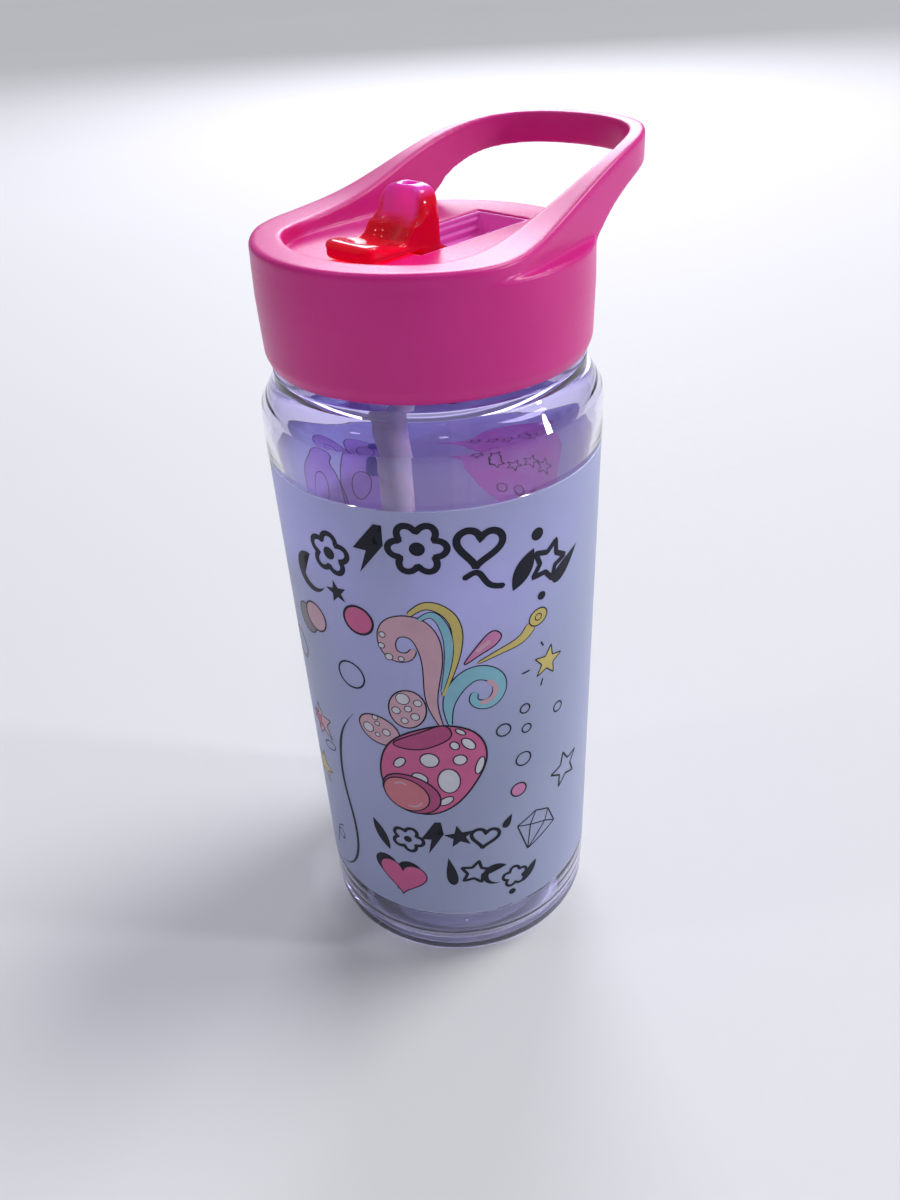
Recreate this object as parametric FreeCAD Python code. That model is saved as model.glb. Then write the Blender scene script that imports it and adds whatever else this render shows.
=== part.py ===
import FreeCAD, Part
import math
import os

# Kids' drinking bottle with a screw cap, a loop handle and a flip-up straw spout.
# Millimetres. Z runs up the bottle, the handle reaches towards +Y, and the bottle and
# cap are symmetric about the plane x = 0 (threads apart). Heights are written from a
# datum a little above the ground, and every part is lifted by `foot_drop` when saved,
# so that the ground is z = 0 in the finished parts.

os.makedirs("parts", exist_ok=True)
V = FreeCAD.Vector
UP = V(0, 0, 1)

# ---- bottle ------------------------------------------------------------------------
foot_drop = 2.5              # the foot reaches this far under the height datum
wall = 1.8                   # thickness of the clear moulded wall
foot_r = 29.9                # outer edge of the flat ring the bottle stands on
foot_inner_r = 26.0          # inner edge of that ring, where the push-up starts
foot_round = 3.2             # radius of the rounded foot
foot_wall_r = 33.1           # radius where the rounded foot meets the wall
punt_flat_r = 8.0            # flat middle of the push-up
punt_height = 3.4            # height of the push-up at the centre, above the datum
panel_low_z = 12.9           # lower edge of the printed film
panel_high_z = 125.2         # upper edge of the printed film
panel_low_r = 33.4           # outside radius of the film at its lower edge
panel_high_r = 35.0          # outside radius of the film at its upper edge
film_t = 0.2                 # film thickness
shoulder_r = 35.1            # clear shoulder, just proud of the film
shoulder_z = 132.6           # height where the shoulder starts to turn in
collar_r = 31.6              # collar directly under the cap
collar_low_z = 141.4
collar_high_z = 143.5
neck_r = 29.0                # neck that carries the thread
neck_bore_r = 27.0
neck_top_z = 159.8

# ---- thread ------------------------------------------------------------------------
pitch = 4.0
thread_turns = 1.1
neck_thread_z = 148.6        # mid-height of the neck ridge where it starts
neck_thread_crest_r = 30.0
cap_thread_crest_r = 29.35
thread_root_half = 0.75      # half height of a ridge at its root
thread_crest_half = 0.45     # half height at its crest

# ---- cap ---------------------------------------------------------------------------
cap_low_z = 144.6
cap_low_r = 31.7
cap_r = 32.95                # skirt radius at its widest
cap_cavity_r = 30.4
deck_z = 165.0               # sunk top of the cap that the spout stands in
deck_under_z = 163.0
rim_z = 168.0                # flat rim in front of the deck
rim_edge_r = 32.75           # outside of the raised front rim
loop_root_z = 158.0          # the loop's foot runs down inside the skirt to here
rim_inner_r = 26.3           # inside of the raised front rim
leg_inner_x = 21.5           # inner face of each handle leg
handle_reach_y = 52.4        # outermost point of the loop
handle_bevel = 0.9           # rounded outer edge of the loop's top
handle_inner_round = 0.5     # softened inner edge of the loop's top

# ---- spout and its channel ---------------------------------------------------------
pivot_y = -1.0
pivot_z = 160.0
barrel_r = 4.9               # turning barrel at the foot of the spout
spout_half = 6.0             # half width of the spout
bore_r = 1.9                 # drinking passage
mouth_top_z = 176.1          # lip of the mouthpiece
mouth_bore_r = 1.3           # the passage narrows inside the mouthpiece
mouth_lean = 1.5             # the mouthpiece's middle lies this far forward at its lip
nose_round = 3.0             # corners of the thumb rest seen from above
bowl_r = 7.0                 # finger hollow in the thumb rest
bowl_y = -12.2
bowl_low_z = 166.7
axle_r = 1.5
axle_clear = 0.05            # running clearance of the axle in its seat
channel_half = 6.28          # half width inside the channel lining
lining = 0.65
channel_front_y = -7.0
channel_rear_y = 22.9
channel_floor_z = 157.6
lining_top_z = 164.7
tray_wall = 1.2
flange_r = 29.2
flange_low_z = 161.4
housing_low_z = 151.4
seal_half = 4.2
boot_low_z = 146.6           # underside of the silicone boot that leads to the straw
duct_z = 149.2               # height of the duct inside the boot

# ---- straw and vent ----------------------------------------------------------------
straw_outer_r = 3.5
straw_inner_r = 2.75
straw_y = -12.0              # the straw hangs forward of the spout
straw_top_z = 146.6
socket_r = 4.8               # outside of the boot's straw socket
socket_low_z = 140.8
straw_low_z = 7.0
vent_y = 19.4
vent_stem_r = 1.2


def revolve(edges):
    """Turn a closed outline in the XZ plane about the Z axis."""
    face = Part.Face(Part.Wire(edges))
    return face.revolve(V(0, 0, 0), UP, 360)


def line(a, b):
    return Part.makeLine(V(a[0], 0, a[1]), V(b[0], 0, b[1]))


def lines(points):
    return [line(a, b) for a, b in zip(points[:-1], points[1:])]


def arc(a, mid, b):
    return Part.Arc(V(a[0], 0, a[1]), V(mid[0], 0, mid[1]), V(b[0], 0, b[1])).toShape()


def curve(points, start=None, end=None):
    """Smooth curve in the XZ plane, with the end directions given if they matter."""
    spline = Part.BSplineCurve()
    places = [V(r, 0, z) for r, z in points]
    if start is None:
        spline.interpolate(Points=places)
    else:
        first = V(start[0], 0, start[1])
        last = V(end[0], 0, end[1])
        spline.interpolate(Points=places, InitialTangent=first, FinalTangent=last)
    return spline.toShape()


def side_plate(edges, half):
    """Extrude a closed outline in the YZ plane to both sides of x = 0."""
    face = Part.Face(Part.Wire(edges))
    return face.extrude(V(2 * half, 0, 0)).translated(V(-half, 0, 0))


def yz_line(a, b):
    return Part.makeLine(V(0, a[0], a[1]), V(0, b[0], b[1]))


def yz_curve(points):
    spline = Part.BSplineCurve()
    spline.interpolate(Points=[V(0, y, z) for y, z in points])
    return spline.toShape()


def box(x0, x1, y0, y1, z0, z1):
    return Part.makeBox(x1 - x0, y1 - y0, z1 - z0, V(x0, y0, z0))


def rod(r, z0, z1, x=0.0, y=0.0):
    return Part.makeCylinder(r, z1 - z0, V(x, y, z0), UP)


def cross_rod(r, half):
    """Cylinder on the spout's pivot axis."""
    return Part.makeCylinder(r, 2 * half, V(-half, pivot_y, pivot_z), V(1, 0, 0))


def ridge(root_r, crest_r, z_start, turns, lead_in):
    """One helical thread ridge, from just inside its wall out to its crest."""
    path = Part.Wire(Part.makeHelix(pitch, pitch * turns, root_r).Edges)
    path.translate(V(0, 0, z_start))
    outline = [(root_r + lead_in, -thread_root_half), (crest_r, -thread_crest_half),
               (crest_r, thread_crest_half), (root_r + lead_in, thread_root_half)]
    corners = [V(r, 0, z_start + z) for r, z in outline]
    profile = Part.makePolygon(corners + [corners[0]])
    return path.makePipeShell([profile], True, True)


def save(shape, node):
    shape.translated(V(0, 0, foot_drop)).exportStep("parts/" + node + ".step")


# ---- bottle body -------------------------------------------------------------------
low_in = panel_low_r - film_t
high_in = panel_high_r - film_t
ground = -foot_drop
turn_in = (1 - math.sqrt(0.5)) * foot_round
foot_mid = (foot_wall_r - turn_in, ground + turn_in)
outer = [
    line((0, punt_height), (punt_flat_r, punt_height)),
    arc((punt_flat_r, punt_height), (18.5, punt_height - 2.2), (foot_inner_r, ground)),
    line((foot_inner_r, ground), (foot_r, ground)),
    arc((foot_r, ground), foot_mid, (foot_wall_r, ground + foot_round)),
    line((foot_wall_r, ground + foot_round), (foot_wall_r - 0.15, 3.6)),
    line((foot_wall_r - 0.15, 3.6), (panel_low_r - 0.1, 4.6)),
    line((panel_low_r - 0.1, 4.6), (panel_low_r, panel_low_z - 0.2)),
    line((panel_low_r, panel_low_z - 0.2), (low_in, panel_low_z)),
    line((low_in, panel_low_z), (high_in, panel_high_z)),
    line((high_in, panel_high_z), (shoulder_r, panel_high_z + 0.5)),
    line((shoulder_r, panel_high_z + 0.5), (shoulder_r, shoulder_z)),
    curve([(shoulder_r, shoulder_z), (34.6, 136.3), (33.1, 138.8), (collar_r, collar_low_z)],
          (0, 1), (0, 1)),
    line((collar_r, collar_low_z), (collar_r, collar_high_z)),
    line((collar_r, collar_high_z), (neck_r, collar_high_z + 0.4)),
    line((neck_r, collar_high_z + 0.4), (neck_r, neck_top_z - 0.5)),
    line((neck_r, neck_top_z - 0.5), (neck_r - 0.5, neck_top_z)),
    line((neck_r - 0.5, neck_top_z), (neck_bore_r + 0.3, neck_top_z)),
    line((neck_bore_r + 0.3, neck_top_z), (neck_bore_r, neck_top_z - 0.3)),
]
inside = [
    line((neck_bore_r, neck_top_z - 0.3), (neck_bore_r, 144.0)),
    curve([(neck_bore_r, 144.0), (29.4, 140.4), (32.4, 136.6), (33.2, 131.5)],
          (0, -1), (0, -1)),
    line((33.2, 131.5), (high_in - wall, 124.5)),
    line((high_in - wall, 124.5), (low_in - wall, 6.0)),
    arc((low_in - wall, 6.0), (low_in - wall - 1.4, 2.6), (low_in - wall - 4.8, 1.0)),
    arc((low_in - wall - 4.8, 1.0), (18.5, punt_height + 0.1), (punt_flat_r, punt_height + 1.9)),
    line((punt_flat_r, punt_height + 1.9), (0, punt_height + 1.9)),
    line((0, punt_height + 1.9), (0, punt_height)),
]
body = revolve(outer + inside)
neck_thread = ridge(neck_r, neck_thread_crest_r, neck_thread_z, thread_turns, -0.3)
bottle_body = body.fuse(neck_thread)
save(bottle_body, "bottle_body")

# ---- printed film around the body ---------------------------------------------------
film_outline = [(low_in, panel_low_z), (panel_low_r, panel_low_z),
                (panel_high_r, panel_high_z), (high_in, panel_high_z), (low_in, panel_low_z)]
print_film = revolve(lines(film_outline))
save(print_film, "print_film")

# ---- cap shell with its loop handle -------------------------------------------------
skirt = revolve([
    line((0, cap_low_z), (cap_low_r, cap_low_z)),
    line((cap_low_r, cap_low_z), (cap_r - 0.3, cap_low_z + 2.4)),
    line((cap_r - 0.3, cap_low_z + 2.4), (cap_r, 158)),
    line((cap_r, 158), (rim_edge_r + 0.05, deck_z)),
    line((rim_edge_r + 0.05, deck_z), (0, deck_z)),
    line((0, deck_z), (0, cap_low_z)),
])


def mirrored_outline(points):
    """Closed outline in plan from its +X half, which starts and ends on x = 0."""
    other = [V(-p.x, p.y, 0) for p in reversed(points[1:-1])]
    spline = Part.BSplineCurve()
    spline.interpolate(Points=points + other, PeriodicFlag=True)
    return Part.Face(Part.Wire(spline.toShape()))


def on_circle(r, degrees):
    """Point on a circle about the Z axis, measured from the front towards +X."""
    a = math.radians(degrees)
    return V(r * math.sin(a), -r * math.cos(a), 0)


# Plan of the loop: the front follows the skirt, the legs draw in and close in an arch.
front = [on_circle(rim_edge_r, a) for a in (0, 16, 32, 48, 64)]
legs = [V(30.6, -7, 0), V(28.9, 4, 0), V(26.5, 18, 0), V(24.2, 32, 0)]
arch = [V(21.4, 41.0, 0), V(13.6, 49.4, 0), V(0, handle_reach_y, 0)]
loop_plan = mirrored_outline(front + legs + arch)

# Plan of the hollow inside the loop: a round-fronted recess that runs out through it.
hollow_front = [on_circle(rim_inner_r, a) for a in (0, 16, 32, 48)]
hollow_sides = [V(leg_inner_x, -12, 0), V(leg_inner_x, 4, 0), V(leg_inner_x, 22, 0)]
hollow_arch = [V(20.0, 35, 0), V(16.4, 42.6, 0), V(9.0, 47.6, 0), V(0, handle_reach_y - 3.4, 0)]
hollow_plan = mirrored_outline(hollow_front + hollow_sides + hollow_arch)

# Side view of the loop: level over the front rim, a steady climb, level again at the end.
top_edge = yz_curve([(-40, rim_z), (-22, rim_z), (-8, rim_z + 0.1), (4, 170.0),
                     (20, 174.9), (34, 178.6), (46, 180.0), (60, 180.4)])
side = side_plate([
    top_edge,
    yz_line((60, 180.4), (60, loop_root_z)),
    yz_line((60, loop_root_z), (-40, loop_root_z)),
    yz_line((-40, loop_root_z), (-40, rim_z)),
], 40)

# Everything under the loop and outside the skirt: the legs flare out of the cap's own round.
flare = curve([(33.2, deck_z - 0.2), (36.0, 168.5), (39.4, 171.0), (44.0, 172.9), (52.0, 174.0),
               (66.0, 174.4)])
under_loop = revolve([
    flare,
    line((66.0, 174.4), (66.0, 150)),
    line((66.0, 150), (33.2, 150)),
    line((33.2, 150), (33.2, deck_z - 0.2)),
])
ring_plan = loop_plan.extrude(V(0, 0, 40)).translated(V(0, 0, 150))
hollow = hollow_plan.extrude(V(0, 0, 60)).translated(V(0, 0, 145))
loop = ring_plan.common(side).cut(hollow).cut(under_loop)

# The two longest edges are the rims of the loop's top face, outside and inside.
rims = sorted(loop.Edges, key=lambda e: e.Length)[-2:]
rims_inner = rims[0].Length
loop = loop.makeFillet(handle_bevel, [rims[1]])
rims = sorted(loop.Edges, key=lambda e: e.Length)
inner_rim = [e for e in rims if abs(e.Length - rims_inner) < 0.5]
loop = loop.makeFillet(handle_inner_round, inner_rim)

cap = skirt.fuse(loop)
cap = cap.cut(rod(cap_cavity_r, cap_low_z - 5, deck_under_z))
slot_half = channel_half + lining + 0.02
slot = box(-slot_half, slot_half, channel_front_y - lining - 0.02,
           channel_rear_y + lining + 0.02, deck_under_z - 3, deck_z + 3)
cap = cap.cut(slot)
cap_thread_z = neck_thread_z - pitch / 2
cap_ridge = ridge(cap_cavity_r, cap_thread_crest_r, cap_thread_z, thread_turns, 0.3)
cap_shell = cap.fuse(cap_ridge)
save(cap_shell, "cap_shell")

# ---- lining tray under the deck -----------------------------------------------------
y0 = channel_front_y
y1 = channel_rear_y
flange = rod(flange_r, flange_low_z, deck_under_z)
trough = box(-channel_half - tray_wall, channel_half + tray_wall, y0 - tray_wall, y1 + tray_wall,
             channel_floor_z - tray_wall, flange_low_z + 0.2)
lip = box(-channel_half - lining, channel_half + lining, y0 - lining, y1 + lining,
          deck_under_z - 0.5, lining_top_z)
cradle = cross_rod(barrel_r + 0.4 + tray_wall, channel_half + tray_wall)
cradle = cradle.common(box(-20, 20, -20, 20, 140, flange_low_z))
housing = box(-6.0, 6.0, pivot_y - 5.4, pivot_y + 5.4, housing_low_z, channel_floor_z)
tray = flange.fuse([trough, lip, cradle, housing])
tray = tray.cut(box(-channel_half, channel_half, y0, y1, channel_floor_z, 175))
tray = tray.cut(cross_rod(barrel_r + 0.4, channel_half))
tray = tray.cut(cross_rod(axle_r + axle_clear, channel_half + 3))
tray = tray.cut(box(-seal_half, seal_half, pivot_y - seal_half, pivot_y + seal_half,
                    housing_low_z - 1, pivot_z - 2))
tray = tray.cut(rod(vent_stem_r, channel_floor_z - 5, channel_floor_z + 1, 0, vent_y))
for side_x in (-2.1, 2.1):
    tray = tray.cut(rod(0.45, channel_floor_z - 5, channel_floor_z + 1, side_x, vent_y))
for rib_x in (-2.6, 2.6):
    tray = tray.fuse(box(rib_x - 0.4, rib_x + 0.4, 7.0, 16.4, channel_floor_z - 0.2,
                         channel_floor_z + 0.4))
save(tray, "spout_tray")

# ---- flip spout ---------------------------------------------------------------------
# Side outline from under the thumb rest, round its nose, over the scoop and the ledge.
thumb = side_plate([
    yz_line((-1.0, 165.35), (-19.6, 165.35)),
    yz_curve([(-19.6, 165.35), (-20.3, 166.6), (-19.6, 168.0), (-17.4, 168.6), (-14.4, 168.1),
              (-11.6, 167.4), (-9.4, 167.9), (-7.9, 169.4), (-6.9, 170.5), (-5.0, 171.0)]),
    yz_line((-5.0, 171.0), (-1.0, 171.0)),
    yz_line((-1.0, 171.0), (-1.0, 165.35)),
], spout_half)
# Seen from above the thumb rest has a round nose, and its top is hollowed for a finger.
nose_plan = box(-spout_half, spout_half, -20.6, 0, 164, 172)
nose_corners = [e for e in nose_plan.Edges if e.BoundBox.ZLength > 7 and e.CenterOfMass.y < -20]
nose_plan = nose_plan.makeFillet(nose_round, nose_corners)
bowl = Part.makeSphere(bowl_r, V(0, bowl_y, bowl_low_z + bowl_r))
thumb = thumb.common(nose_plan).cut(bowl)


def d_section(z, half, front_y, back_y, front_r, back_r):
    """Closed mouthpiece section: small front corners and large rounded back corners."""
    f = front_r
    b = back_r
    k = 1 - math.sqrt(0.5)
    pts = [V(-half + f, front_y, z), V(half - f, front_y, z),
           V(half, front_y + f, z), V(half, back_y - b, z),
           V(half - b, back_y, z), V(-half + b, back_y, z),
           V(-half, back_y - b, z), V(-half, front_y + f, z)]
    mids = [V(half - k * f, front_y + k * f, z), V(half - k * b, back_y - k * b, z),
            V(-half + k * b, back_y - k * b, z), V(-half + k * f, front_y + k * f, z)]
    return Part.Wire([
        Part.makeLine(pts[0], pts[1]), Part.Arc(pts[1], mids[0], pts[2]).toShape(),
        Part.makeLine(pts[2], pts[3]), Part.Arc(pts[3], mids[1], pts[4]).toShape(),
        Part.makeLine(pts[4], pts[5]), Part.Arc(pts[5], mids[2], pts[6]).toShape(),
        Part.makeLine(pts[6], pts[7]), Part.Arc(pts[7], mids[3], pts[0]).toShape(),
    ])


mouth = Part.makeLoft([
    d_section(pivot_z, spout_half, -6.0, 0.6, 0.8, 3.0),
    d_section(170.6, spout_half, -6.0, 0.2, 0.8, 3.0),
    d_section(mouth_top_z + 0.5, spout_half, -4.4, -0.6, 0.8, 1.8),
], True, True)


def xz_line(a, b):
    return Part.makeLine(V(a[0], -20, a[1]), V(b[0], -20, b[1]))


# Seen from the front the mouthpiece draws in towards a well rounded top.
arch_side = [(spout_half, 168.4), (5.85, 171.4), (5.3, 173.8), (4.0, 175.4), (2.0, 175.98)]
arch_top = Part.BSplineCurve()
mirrored = [(-x, z) for x, z in reversed(arch_side)]
arch_points = arch_side + [(0, mouth_top_z)] + mirrored
arch_top.interpolate(Points=[V(x, -20, z) for x, z in arch_points])
mouth_view = Part.Face(Part.Wire([
    arch_top.toShape(),
    xz_line((-spout_half, 168.4), (-spout_half, pivot_z - 1)),
    xz_line((-spout_half, pivot_z - 1), (spout_half, pivot_z - 1)),
    xz_line((spout_half, pivot_z - 1), (spout_half, 168.4)),
])).extrude(V(0, 40, 0))
mouth = mouth.common(mouth_view)
barrel = cross_rod(barrel_r, spout_half)
axles = cross_rod(axle_r, channel_half + 1.0)
spout = mouth.fuse([thumb, barrel, axles])
spout = spout.cut(rod(bore_r, pivot_z - 10, pivot_z + 1.5, 0, pivot_y))
rise = mouth_top_z - pivot_z
passage = Part.makeCylinder(mouth_bore_r, 2 * rise, V(0, pivot_y, pivot_z), V(0, -mouth_lean, rise))
spout = spout.cut(passage)
save(spout, "flip_spout")

# ---- silicone seal the barrel turns on, with the boot that carries the drink to it ------
saddle = box(-seal_half, seal_half, pivot_y - seal_half, pivot_y + seal_half,
             housing_low_z, pivot_z - 2.6)
saddle = saddle.cut(cross_rod(barrel_r + 0.06, 20))
boot = box(-seal_half, seal_half, straw_y - seal_half, pivot_y + seal_half,
           boot_low_z, housing_low_z)
boot_tall = housing_low_z - boot_low_z
boot_ends = [e for e in boot.Edges if abs(e.BoundBox.ZLength - boot_tall) < 0.01]
boot = boot.makeFillet(2.0, boot_ends)
socket = rod(socket_r, socket_low_z, boot_low_z + 0.6, 0, straw_y)
duct = Part.makeCylinder(bore_r, pivot_y - straw_y, V(0, straw_y, duct_z), V(0, 1, 0))
seal = saddle.fuse([boot, socket])
seal = seal.cut(rod(bore_r, duct_z, pivot_z, 0, pivot_y))
seal = seal.cut(duct)
seal = seal.cut(rod(bore_r, boot_low_z - 1, duct_z, 0, straw_y))
seal = seal.cut(rod(straw_outer_r, socket_low_z - 1, straw_top_z, 0, straw_y))
save(seal, "spout_seal")

# ---- gasket between the tray and the neck --------------------------------------------
gasket = rod(29.0, neck_top_z + 0.1, flange_low_z).cut(rod(26.4, neck_top_z - 1, 170))
save(gasket, "cap_gasket")

# ---- straw ---------------------------------------------------------------------------
straw = rod(straw_outer_r, straw_low_z, straw_top_z, 0, straw_y)
straw = straw.cut(rod(straw_inner_r, straw_low_z - 1, straw_top_z + 1, 0, straw_y))
save(straw, "straw")

# ---- umbrella vent valve in the channel floor ----------------------------------------
under = channel_floor_z - tray_wall
stem = rod(vent_stem_r, under - 0.6, channel_floor_z + 0.5, 0, vent_y)
head = rod(3.2, under - 0.7, under, 0, vent_y)
knob = rod(1.55, channel_floor_z, channel_floor_z + 0.7, 0, vent_y)
save(stem.fuse([head, knob]), "vent_valve")
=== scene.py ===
import math

import bmesh
import bpy
import numpy as np
from mathutils import Matrix, Vector


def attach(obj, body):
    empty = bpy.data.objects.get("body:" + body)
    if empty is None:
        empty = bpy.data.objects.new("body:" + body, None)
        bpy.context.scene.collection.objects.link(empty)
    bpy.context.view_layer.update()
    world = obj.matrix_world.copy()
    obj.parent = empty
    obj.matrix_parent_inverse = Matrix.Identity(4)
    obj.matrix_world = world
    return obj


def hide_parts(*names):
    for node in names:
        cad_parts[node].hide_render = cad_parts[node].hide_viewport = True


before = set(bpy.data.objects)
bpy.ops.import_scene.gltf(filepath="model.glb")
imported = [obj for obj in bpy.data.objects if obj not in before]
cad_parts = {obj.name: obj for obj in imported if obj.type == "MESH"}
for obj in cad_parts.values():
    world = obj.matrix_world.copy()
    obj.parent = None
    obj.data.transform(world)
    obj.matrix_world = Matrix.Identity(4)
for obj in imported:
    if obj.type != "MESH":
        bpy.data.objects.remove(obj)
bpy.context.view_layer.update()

# Kids' drinking bottle: looks for the CAD frame. Shapes are worked out in millimetres and
# scaled to metres when a mesh is made. Heights are from the ground, the front faces -Y.
MM = 0.001
TURN = 2 * math.pi

# ---- sizes shared by several pieces --------------------------
FILM_LOW, FILM_HIGH = 15.4, 127.7        # edges of the printed film
FILM_LOW_R, FILM_HIGH_R = 33.4, 35.0     # outside of the film at those edges
FILM_T = 0.2
FILM_GAP = 0.06                          # air between the wall and the film
PITCH = 4.0                              # thread
THREAD_TURNS = 1.1
WALL_SEGMENTS = 288                      # round the bottle and the film
PRINT_FRONT = math.radians(-44.6)        # where u = 0 of the print sits round the bottle
PRINT_R = 34.2                           # radius that turns a print width into an angle


# ---- mesh helpers --------------------------------------------
def make_object(name, verts, faces, sharp=math.radians(40)):
    """Object from points in millimetres, shaded smooth except over sharp edges."""
    mesh = bpy.data.meshes.new(name)
    mesh.from_pydata((np.asarray(verts, float) * MM).tolist(), [], faces)
    return finish_object(name, mesh, sharp)


def finish_object(name, mesh, sharp):
    """Puts a mesh into the scene with outward faces; sharp None keeps every edge smooth."""
    mesh.validate()
    edit = bmesh.new()
    edit.from_mesh(mesh)
    bmesh.ops.recalc_face_normals(edit, faces=edit.faces)
    edit.to_mesh(mesh)
    edit.free()
    mesh.shade_smooth()
    if sharp is not None:
        mesh.set_sharp_from_angle(angle=sharp)
    obj = bpy.data.objects.new(name, mesh)
    bpy.context.scene.collection.objects.link(obj)
    return obj


def lathe(profile, segments=256, bump=None, closed=False):
    """Verts and faces of an outline (r, z) turned about Z. Ends on the axis become poles."""
    verts, rings, faces = [], [], []
    angles = np.arange(segments) * TURN / segments
    for r, z in profile:
        if r < 1e-6:
            rings.append([len(verts)] * segments)
            verts.append((0, 0, z))
            continue
        rings.append(list(range(len(verts), len(verts) + segments)))
        rr = np.full(segments, r) + (bump(angles, r, z) if bump else 0)
        verts.extend(zip(rr * np.cos(angles), rr * np.sin(angles), np.full(segments, z)))
    pairs = list(zip(rings[:-1], rings[1:]))
    if closed:
        pairs.append((rings[-1], rings[0]))
    for a, b in pairs:
        for i in range(segments):
            j = (i + 1) % segments
            quad = [a[i], a[j], b[j], b[i]]
            face = [v for k, v in enumerate(quad) if v != quad[k - 1]]
            if len(face) > 2:
                faces.append(face)
    return verts, faces


def rounded(corners, steps=5):
    """Outline with each corner (x, y, radius) rounded by a curve about as wide as an arc."""
    out = []
    n = len(corners)
    for i, (x, y, r) in enumerate(corners):
        p = Vector((x, y))
        if r <= 0 or i in (0, n - 1):
            out.append((x, y))
            continue
        to_last = Vector(corners[i - 1][:2]) - p
        to_next = Vector(corners[i + 1][:2]) - p
        half = to_last.angle(to_next) / 2
        cut = min(r / math.tan(half), 0.49 * to_last.length, 0.49 * to_next.length)
        a = p + to_last.normalized() * cut
        b = p + to_next.normalized() * cut
        for k in range(steps + 1):
            t = k / steps
            q = a * (1 - t) ** 2 + p * 2 * t * (1 - t) + b * t ** 2
            out.append((q.x, q.y))
    return out


def arc3(a, mid, b, steps=16):
    """Circular arc through three points, as a list of points."""
    (ax, ay), (bx, by), (cx, cy) = a, mid, b
    d = 2 * (ax * (by - cy) + bx * (cy - ay) + cx * (ay - by))
    a2, b2, c2 = ax * ax + ay * ay, bx * bx + by * by, cx * cx + cy * cy
    ux = (a2 * (by - cy) + b2 * (cy - ay) + c2 * (ay - by)) / d
    uy = (a2 * (cx - bx) + b2 * (ax - cx) + c2 * (bx - ax)) / d
    r = math.hypot(ax - ux, ay - uy)
    t0, t1, t2 = (math.atan2(p[1] - uy, p[0] - ux) for p in (a, mid, b))
    t1 = t0 + (t1 - t0 + math.pi) % TURN - math.pi
    t2 = t1 + (t2 - t1 + math.pi) % TURN - math.pi
    return [(ux + r * math.cos(t), uy + r * math.sin(t)) for t in np.linspace(t0, t2, steps + 1)]


def spline(points, count, loop=False):
    """Smooth cubic curve through the points, as count samples along it.

    With count None it gives the curve as a function of its length, and the points' lengths.
    """
    p = np.asarray(points, float)
    n = len(p)
    if loop:
        chord = np.linalg.norm(np.roll(p, -1, 0) - p, axis=1)
        knots = np.concatenate([[0], np.cumsum(chord)])
        m = np.zeros((n, n))
        rhs = np.zeros_like(p)
        for i in range(n):
            before, after = chord[i - 1], chord[i]
            m[i, i - 1] += before
            m[i, i] += 2 * (before + after)
            m[i, (i + 1) % n] += after
            rhs[i] = 6 * ((p[(i + 1) % n] - p[i]) / after - (p[i] - p[i - 1]) / before)
        bend = np.linalg.solve(m, rhs)
        p = np.vstack([p, p[:1]])
        bend = np.vstack([bend, bend[:1]])
    else:
        chord = np.linalg.norm(p[1:] - p[:-1], axis=1)
        knots = np.concatenate([[0], np.cumsum(chord)])
        m = np.zeros((n, n))
        rhs = np.zeros_like(p)
        m[0, 0] = m[-1, -1] = 1
        for i in range(1, n - 1):
            before, after = chord[i - 1], chord[i]
            m[i, i - 1], m[i, i], m[i, i + 1] = before, 2 * (before + after), after
            rhs[i] = 6 * ((p[i + 1] - p[i]) / after - (p[i] - p[i - 1]) / before)
        bend = np.linalg.solve(m, rhs)

    def at(t):
        t = np.atleast_1d(t)
        i = np.clip(np.searchsorted(knots, t, side="right") - 1, 0, len(chord) - 1)
        h = chord[i][:, None]
        b = (t - knots[i])[:, None]
        a = h - b
        return (bend[i] * a ** 3 + bend[i + 1] * b ** 3) / (6 * h) + \
            (p[i] / h - bend[i] * h / 6) * a + (p[i + 1] / h - bend[i + 1] * h / 6) * b

    if count is None:
        return at, knots
    return at(np.linspace(0, knots[-1], count))


def relax(co, edges, passes, weight):
    """Moves each point towards the mean of its neighbours, which rounds the edges."""
    n = len(co)
    a, b = edges[:, 0], edges[:, 1]
    degree = np.bincount(edges.ravel(), minlength=n)[:, None]
    for _ in range(passes):
        mean = np.stack([np.bincount(a, co[b, k], n) + np.bincount(b, co[a, k], n)
                         for k in range(3)], 1) / degree
        co = co + 0.5 * weight[:, None] * (mean - co)
    return co


def voxel_skin(obj, size):
    skin = obj.modifiers.new("skin", "REMESH")
    skin.mode = "VOXEL"
    skin.voxel_size = size


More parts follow.
